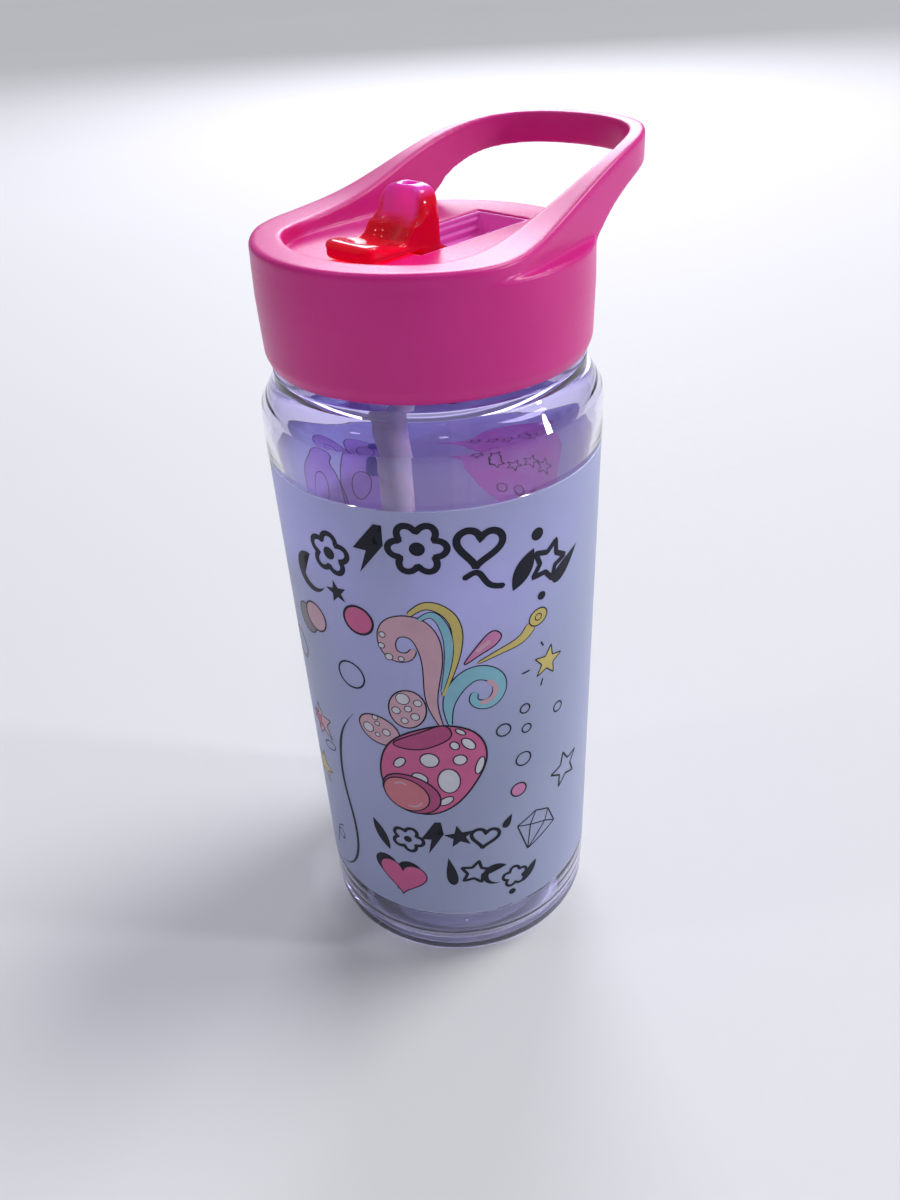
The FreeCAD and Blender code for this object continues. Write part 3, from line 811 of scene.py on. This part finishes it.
for du, dz, da, db, dt in ((-5.5, 66.0, 2.1, 2.0, 0), (1.2, 66.0, 1.5, 1.45, 0),
                           (0.2, 70.2, 0.95, 1.2, 30), (3.2, 70.4, 1.1, 2.0, 38),
                           (-12.4, 64.4, 1.0, 1.9, -40), (-1.5, 59.9, 2.5, 3.6, 0),
                           (5.5, 63.7, 0.9, 2.5, -16), (-8.0, 60.4, 1.9, 1.5, -30),
                           (-2.4, 53.8, 1.9, 1.0, 35), (1.6, 74.0, 1.3, 0.6, -38)):
    outlined("white", oval(du, dz, da, db, dt), 0.3, 5)
outlined("deep", oval(-10.4, 55.2, 7.0, 5.5, -24), 0.4, 7)
outlined("coral", oval(-11.6, 54.9, 5.6, 4.7, -28), 0.35, 9)
stroke("blush", 11, through([(-14.2, 57.6), (-12.8, 58.4), (-11.2, 57.8)]), 0.5)
stroke("blush", 11, through([(-11.4, 51.6), (-9.4, 51.6), (-8.0, 53.0)]), 0.5)

# Small rings on the right.
for du, dz, dr in ((16.3, 76.2, 1.2), (11.1, 72.2, 1.65), (16.7, 70.5, 1.15), (25.8, 71.7, 1.3),
                   (15.9, 61.9, 1.9)):
    stroke("line", 2, oval(du, dz, dr), 0.36, loop=True)
outlined("rose", oval(14.6, 53.1, 1.95), 0.4)

# Outlined star, gem and heart.
stroke("line", 2, star(29.2, 51.2, 5.2, 10, 0.45), 0.5, loop=True)
gem = [(14.2, 41.4), (19.4, 43.9), (23.2, 42.2), (25.4, 36.8), (17.0, 32.6)]
stroke("line", 2, gem, 0.36, loop=True)
stroke("line", 2, [(14.2, 41.4), (17.8, 40.2), (22.2, 38.8), (25.4, 36.8)], 0.3)
stroke("line", 2, [(17.8, 40.2), (19.4, 43.9)], 0.3)
stroke("line", 2, [(22.2, 38.8), (23.2, 42.2)], 0.3)
stroke("line", 2, [(17.8, 40.2), (17.0, 32.6), (22.2, 38.8)], 0.3)
fill("line", 1, heart(-16.0, 27.9, 12.6, -4))
outlined("pink", heart(-14.8, 26.6, 12.4, -4), 0.3, 2)

# Long S line, with a ring beside its foot.
long_line = through([(-23.2, 74.6), (-27.2, 68.4), (-29.6, 60.0), (-30.0, 50.0), (-28.4, 40.0),
                     (-28.2, 31.0), (-30.4, 23.6), (-34.6, 19.0), (-38.4, 17.2)], 90)
stroke("line", 2, long_line, 0.85, ends=0.8)
stroke("line", 2, oval(-36.0, 28.4, 1.5), 0.3, loop=True)
stroke("line", 2, through([(-40.0, 22.0), (-38.0, 27.0), (-36.4, 31.0), (-34.0, 32.4)]), 0.3)

# Stars on the left edge.
outlined("blush", star(-36.6, 64.6, 5.2, 14), 0.25)
outlined("pink", star(-38.6, 64.0, 3.0, 30), 0.2, 2)
outlined("yellow", star(-40.4, 48.4, 5.0, -10), 0.25)
stroke("line", 2, oval(-34.2, 58.8, 2.6, 1.2, 20), 0.25, loop=True)
stroke("slate", 0, oval(-42.4, 84.0, 3.6), 0.9, loop=True)

# Two rows of bold doodles under the picture.
fill("line", 2, leaf(-19.4, 39.4, 9.8, 2.8, 24))
stroke("line", 2, flower(-12.4, 40.2, 3.9, 5, -6), 0.9, loop=True)
fill("line", 2, oval(-12.4, 40.2, 1.0))
fill("line", 2, bolt(-6.4, 41.6, 10.4, 4))
fill("line", 2, star(0.0, 42.2, 3.7, 8))
stroke("line", 2, heart(6.0, 41.0, 6.8, -12), 0.95, loop=True)
fill("line", 2, drop(11.8, 44.4, 4.4, 2.2, -28))
fill("line", 2, drop(-2.4, 30.6, 9.6, 3.0, 6))
stroke("line", 2, star(3.4, 29.6, 3.9, -14, 0.5), 0.8, loop=True)
fill("line", 2, crescent(8.4, 27.8, 3.4, -20))
stroke("line", 2, flower(13.4, 25.0, 3.3, 5, 20), 0.8, loop=True)
fill("line", 2, leaf(17.6, 24.6, 7.0, 2.2, -34))
fill("line", 2, oval(12.6, 19.8, 0.95))

# Back of the film: a bright splash, large petals and more rings.
AHEAD = -PRINT_R * PRINT_FRONT            # from u = 0 to the side that faces along X


def far(degrees):
    """Distance round the film for an angle seen from above."""
    return AHEAD + PRINT_R * math.radians(degrees)


splash_shape = [(far(d), z) for d, z in (
    (78, 96.0), (74, 108.0), (78, 119.0), (90, 120.0), (103, 121.5), (116, 119.0), (122, 112.0),
    (139, 112.5), (126, 107.0), (120, 101.0), (112, 95.0), (100, 92.0), (88, 92.0))]
petal_c = [(far(d), z) for d, z in ((160, 92.0), (163, 112.0), (172, 117.0), (180, 108.0),
                                    (178, 92.0), (170, 84.0))]
petal_d = [(far(d), z) for d, z in ((184, 88.0), (182, 108.0), (190, 119.0), (200, 117.0),
                                    (206, 104.0), (200, 88.0))]
for under in (False, True):
    first, second, third = (-2, -1, -1) if under else (0, 1, 2)
    fill("splash", first, through(splash_shape, 90, True))
    for k in range(5):
        spot = far(84 + 8.5 * k)
        shape = star(spot, 108.0 + 1.2 * math.sin(2.1 * k), 3.1 - 0.25 * k, 9 * k)
        stroke("line", -3 if under else 2, shape, 0.3, loop=True)
    for k in range(3):
        stroke("deep", -3 if under else second, oval(far(88 + 9 * k), 98.0, 1.5), 0.35, loop=True)
    for petal, d, z, a, b in ((petal_c, 170, 103.0, 3.0, 5.4), (petal_d, 194, 106.0, 3.0, 6.0)):
        fill("violet", first, through(petal, 60, True))
        stroke("line", -3 if under else second, through(petal, 60, True), 0.25, loop=True)
        stroke("line", -3 if under else third, oval(far(d), z, a, b, 8), 0.25, loop=True)
    fill("indigo", -1 if under else 3, oval(far(161), 109.0, 3.0, 4.0, 20))
for k in range(9):
    spot = far(62 + 17.5 * k)
    height = 40.0 + 26.0 * math.sin(1.7 * k) ** 2
    if k % 3 == 0:
        outlined("pink", heart(spot, height, 9.0, 8 * math.sin(k)), 0.35)
    elif k % 3 == 1:
        outlined("yellow", star(spot, height, 5.0, 14 * k), 0.35)
    else:
        stroke("line", 2, oval(spot, height, 3.2), 0.45, loop=True)
    stroke("line", 2, oval(spot + 5.0, height + 16.0, 1.6), 0.35, loop=True)
    stroke("line", 2, spiral(spot - 3.0, height - 15.0, 3.6, 0.5, 40 * k, 2.1), 0.5)

for key, (verts, faces) in drawn.items():
    if faces:
        patch = make_object("print_" + key, verts, faces, sharp=math.radians(30))
        place(patch, INKS[key], "film", "bottle")


# ---- cap with its loop handle --------------------------------
CAP_LOW, DECK, DECK_UNDER = 147.1, 167.5, 165.5
CAP_BORE_R = 30.4
HANDLE_END = 52.4                        # how far back the handle reaches
SIDE_R = 33.05                           # outside this radius the handle hangs free
ROOT = 166.2                             # where the handle ends inside the deck
EDGE_R, INNER_R = 0.9, 0.5               # roundings of the handle's top edges
SLOT_HALF, SLOT_FRONT, SLOT_BACK = 6.95, -7.67, 23.57


def polar(r, degrees):
    """Plan point at a radius, by its angle from the cap's front."""
    a = math.radians(degrees)
    return (r * math.sin(a), -r * math.cos(a))


def half_loop(points, marks, counts):
    """Half of a symmetric closed plan curve, with set numbers of samples between marks."""
    mirrored = [(-x, y) for x, y in reversed(points[1:-1])]
    at, knots = spline(points + mirrored, None, True)
    stops = [knots[i] for i in marks]
    samples = []
    for a, b, count in zip(stops[:-1], stops[1:], counts):
        samples.extend(np.linspace(a, b, count, endpoint=False))
    samples.append(stops[-1])
    return at(np.array(samples))


outer_points = [polar(32.75, a) for a in (0, 16, 32, 48, 64)]
outer_points += [(30.6, -7), (28.9, 4), (26.5, 18), (24.2, 32), (21.4, 41.0), (13.6, 49.4),
                 (0, HANDLE_END)]
inner_points = [polar(26.3, a) for a in (0, 16, 32, 48)]
inner_points += [(21.5, -12), (21.5, 4), (21.5, 22), (20.0, 35), (16.4, 42.6), (9.0, 47.6),
                 (0, HANDLE_END - 3.4)]
counts = (50, 70, 60)
outer_half = half_loop(outer_points, (0, 4, 8, 11), counts)
inner_half = half_loop(inner_points, (0, 3, 6, 10), counts)
mirror = np.array([-1, 1])
outer_plan = np.vstack([outer_half, outer_half[-2:0:-1] * mirror])
inner_plan = np.vstack([inner_half, inner_half[-2:0:-1] * mirror])
top_curve = spline([(-40, 170.5), (-22, 170.5), (-8, 170.6), (4, 172.5), (20, 177.4), (34, 181.1),
                    (46, 182.5), (60, 182.9)], 400)
flare_curve = spline([(33.2, 167.3), (36.0, 171.0), (39.4, 173.5), (44.0, 175.4), (52.0, 176.5),
                      (66.0, 176.9)], 300)


def top_z(y):
    return np.interp(y, top_curve[:, 0], top_curve[:, 1])


def under_z(r):
    return np.interp(r, flare_curve[:, 0], flare_curve[:, 1])


def underside(p):
    """Point of the handle's underside, or of its root in the deck, at a plan point."""
    r = np.linalg.norm(p)
    return (*p, under_z(r) if r > SIDE_R else ROOT)


def handle_section(o, i):
    """Closed section of the handle between its outer and inner outlines, as points."""
    span = i - o
    width = np.linalg.norm(span)
    d = span / width
    free = 0.0
    if np.linalg.norm(o) > SIDE_R:
        free = max(s for s in np.linspace(0, 1, 41) if np.linalg.norm(o + span * s) > SIDE_R)
    section = [underside(o + span * s) for s in np.linspace(free, 0, 10)]
    low = section[-1][2]
    high = top_z(o[1]) - EDGE_R
    section += [(*o, low + (high - low) * s) for s in np.linspace(0, 1, 9)[1:-1]]
    for a in np.linspace(0, math.pi / 2, 7):
        p = o + d * EDGE_R * (1 - math.cos(a))
        section.append((*p, top_z(p[1]) - EDGE_R * (1 - math.sin(a))))
    for s in np.linspace(EDGE_R, width - INNER_R, 9)[1:-1]:
        p = o + d * s
        section.append((*p, top_z(p[1])))
    for a in np.linspace(math.pi / 2, 0, 6):
        p = i - d * INNER_R * (1 - math.cos(a))
        section.append((*p, top_z(p[1]) - INNER_R * (1 - math.sin(a))))
    high = section[-1][2]
    low = underside(i)[2]
    section += [(*i, high + (low - high) * s) for s in np.linspace(0, 1, 9)[1:]]
    section += [underside(o + span * s) for s in np.linspace(1, free, 6)[1:]]
    return section


ring_points = [handle_section(o, i) for o, i in zip(outer_plan, inner_plan)]
loop_verts = [p for section in ring_points for p in section]
k = len(ring_points[0])
n = len(ring_points)
loop_faces = [[a * k + b, a * k + (b + 1) % k, (a + 1) % n * k + (b + 1) % k, (a + 1) % n * k + b]
              for a in range(n) for b in range(k)]

skirt_profile = rounded([(0, DECK, 0), (32.8, DECK, 0.5), (32.95, 160.5, 1.0), (32.65, 149.5, 0.8),
                         (31.7, CAP_LOW, 0.35), (CAP_BORE_R, CAP_LOW, 0.3),
                         (CAP_BORE_R, 148.0, 0)])
skirt_profile += [(CAP_BORE_R, z) for z in np.arange(148.4, 156.0, ROW_STEP)]
skirt_profile += [(CAP_BORE_R, DECK_UNDER), (0, DECK_UNDER)]
skirt = lathe(skirt_profile, 360, thread(CAP_BORE_R, 148, 156, 149.1, -1.05))
slot_cut = box(-SLOT_HALF, SLOT_HALF, SLOT_FRONT, SLOT_BACK, DECK_UNDER - 3, DECK + 3)
cap = soften("look_cap_shell", [skirt, (loop_verts, loop_faces)], 0.3, 8, cutters=[slot_cut])
place(cap, cap_mat, "cap_pink", "cap", "cap_shell")


# ---- lining tray, spout, seal --------------------------------
def ridges(co):
    """Fine ridges that run along the side walls of the channel."""
    wall_x, low, high = 6.28, 161.5, 166.6
    depth, pitch = 0.22, 1.7
    x, z = co[:, 0], co[:, 2]
    near = np.clip(1 - np.abs(np.abs(x) - wall_x) / 0.3, 0, 1) * np.clip((z - low) / 0.5, 0, 1)
    near *= np.clip((high - z) / 0.3, 0, 1)
    co[:, 0] += np.sign(x) * depth * near * np.cos(TURN * z / pitch)
    return co


def scoop(co):
    """Hollows the thumb rest and steps the mouthpiece out at the ledge."""
    ledge_low, ledge_top, ledge_y, step = 169.6, 172.5, -4.6, 0.7
    bowl_y, bowl_z, half_length, half_width, depth = -12.2, 168.4, 4.6, 5.2, 0.7
    x, y, z = co[:, 0], co[:, 1], co[:, 2]
    ledge = np.clip((ledge_top - z) / 0.3, 0, 1) * np.clip((z - ledge_low) / 1.4, 0, 1)
    co[:, 1] -= step * ledge * np.clip((ledge_y - y) / 1.0, 0, 1)
    along = np.clip(1 - ((y - bowl_y) / half_length) ** 2, 0, 1)
    across = np.clip(1 - (x / half_width) ** 4, 0, 1)
    upper = np.clip((z - bowl_z) / 1.0, 0, 1)
    co[:, 2] -= depth * along * across * upper
    return co


def above_barrel(co):
    """Share of the rounding that each point of the spout gets: little below the deck."""
    return np.clip((co[:, 2] - DECK_UNDER) / 1.5, 0.05, 1)


tray = soften("look_spout_tray", [cad_mesh("spout_tray")], 0.2, 3, shape=ridges)
place(tray, tray_mat, "tray_magenta", "cap", "spout_tray")
spout = soften("look_flip_spout", [cad_mesh("flip_spout")], 0.15, 90, shape=scoop,
               where=above_barrel)
place(spout, spout_mat, "spout_red", "spout", "flip_spout")
seal = soften("look_spout_seal", [cad_mesh("spout_seal")], 0.2, 2)
place(seal, silicone_mat, "silicone", "cap", "spout_seal")

# ---- gasket, straw and vent valve ----------------------------
STRAW_Y, STRAW_BORE_R, STRAW_R = -12.0, 2.75, 3.5
STRAW_LOW, STRAW_TOP = 9.5, 149.1
VENT_Y = 19.4

ring = rounded([(26.4, 163.0, 0), (26.4, 162.4, 0.2), (29.0, 162.4, 0.3), (29.0, 163.9, 0.3),
                (26.4, 163.9, 0.2), (26.4, 163.0, 0)])
verts, faces = lathe(ring[:-1], 192, closed=True)
gasket = make_object("look_cap_gasket", verts, faces)
place(gasket, silicone_mat, "silicone", "lid_ring", "cap_gasket")

tube = rounded([(STRAW_BORE_R, 80.0, 0), (STRAW_BORE_R, STRAW_LOW, 0.2), (STRAW_R, STRAW_LOW, 0.2),
                (STRAW_R, STRAW_TOP, 0.2), (STRAW_BORE_R, STRAW_TOP, 0.2),
                (STRAW_BORE_R, 80.0, 0)])
verts, faces = lathe(tube[:-1], 64, closed=True)
straw = make_object("look_straw", [(x, y + STRAW_Y, z) for x, y, z in verts], faces)
place(straw, straw_mat, "straw_pink", "cap", "straw")

valve = rounded([(0, 160.8, 0), (1.55, 160.8, 0.3), (1.55, 160.1, 0.1), (1.15, 160.1, 0.05),
                 (1.15, 158.9, 0.05), (3.2, 158.85, 0.2), (3.0, 158.2, 0.2), (0, 158.2, 0)])
verts, faces = lathe(valve, 64)
vent = make_object("look_vent_valve", [(x, y + VENT_Y, z) for x, y, z in verts], faces)
place(vent, silicone_mat, "silicone", "cap", "vent_valve")

# ---- floor, light and camera ---------------------------------
floor_mat = material("floor", (0.7, 0.7, 0.71), (0.72, 0.72, 0.73), 0.7, grain=200.0,
                     grain_depth=0.02, cloud=2.0)
FLOOR_HALF = 15000
verts, faces = box(-FLOOR_HALF, FLOOR_HALF, -FLOOR_HALF, FLOOR_HALF, -10, 0)
floor = make_object("floor", verts, faces)
floor.data.materials.append(floor_mat)

world = bpy.data.worlds.new("studio")
world.use_nodes = True
background = world.node_tree.nodes["Background"]
background.inputs["Color"].default_value = (0.80, 0.84, 0.95, 1)
background.inputs["Strength"].default_value = 0.3
bpy.context.scene.world = world


def area_light(name, where, aim, size, watts, colour=(1, 1, 1)):
    """Round soft lamp at where, in metres, turned to the point aim."""
    light = bpy.data.lights.new(name, "AREA")
    light.shape = "DISK"
    light.size = size
    light.energy = watts
    light.color = colour
    obj = bpy.data.objects.new(name, light)
    obj.location = where
    obj.rotation_euler = (Vector(aim) - Vector(where)).to_track_quat("-Z", "Y").to_euler()
    bpy.context.scene.collection.objects.link(obj)


sun = bpy.data.lights.new("sky", "SUN")
sun.energy = 1.65
sun.angle = math.radians(24)
sun_object = bpy.data.objects.new("sky", sun)
sun_object.rotation_euler = Vector((-0.25, -0.6, -1.0)).to_track_quat("-Z", "Y").to_euler()
bpy.context.scene.collection.objects.link(sun_object)
area_light("behind", (-0.95, 1.15, 0.95), (0, 0, 0.12), 0.9, 15, (0.92, 0.9, 1.0))
area_light("right", (1.1, 0.75, 0.6), (0, 0, 0.1), 0.12, 5, (0.95, 0.95, 1.0))
area_light("lamp_a", (0.5, -0.35, 1.3), (0, 0, 0.1), 0.12, 0.8)
area_light("lamp_b", (-0.45, -0.6, 1.2), (0, 0, 0.1), 0.12, 0.7, (1.0, 0.96, 0.92))

# The camera stands where the photograph was taken from.
EYE = (0.1454, -0.1434, 0.2203)          # metres
LENS, SENSOR = 31.425, 36.0              # millimetres
AZIMUTH, PITCH_DOWN, ROLL = math.radians(45.06), math.radians(33.52), -0.058
level = Vector((-math.sin(AZIMUTH), math.cos(AZIMUTH), 0))
right = Vector((math.cos(AZIMUTH), math.sin(AZIMUTH), 0))
forward = level * math.cos(PITCH_DOWN) - Vector((0, 0, 1)) * math.sin(PITCH_DOWN)
up = right.cross(forward)
tilted_right = right * math.cos(ROLL) + up * math.sin(ROLL)
tilted_up = up * math.cos(ROLL) - right * math.sin(ROLL)
turn = Matrix((tilted_right, tilted_up, -forward)).transposed()
camera_data = bpy.data.cameras.new("photo")
camera_data.lens = LENS
camera_data.sensor_width = SENSOR
camera_data.clip_start = 0.01
camera = bpy.data.objects.new("photo", camera_data)
camera.matrix_world = Matrix.Translation(EYE) @ turn.to_4x4()
bpy.context.scene.collection.objects.link(camera)
bpy.context.scene.camera = camera
bpy.context.scene.view_settings.view_transform = "Standard"
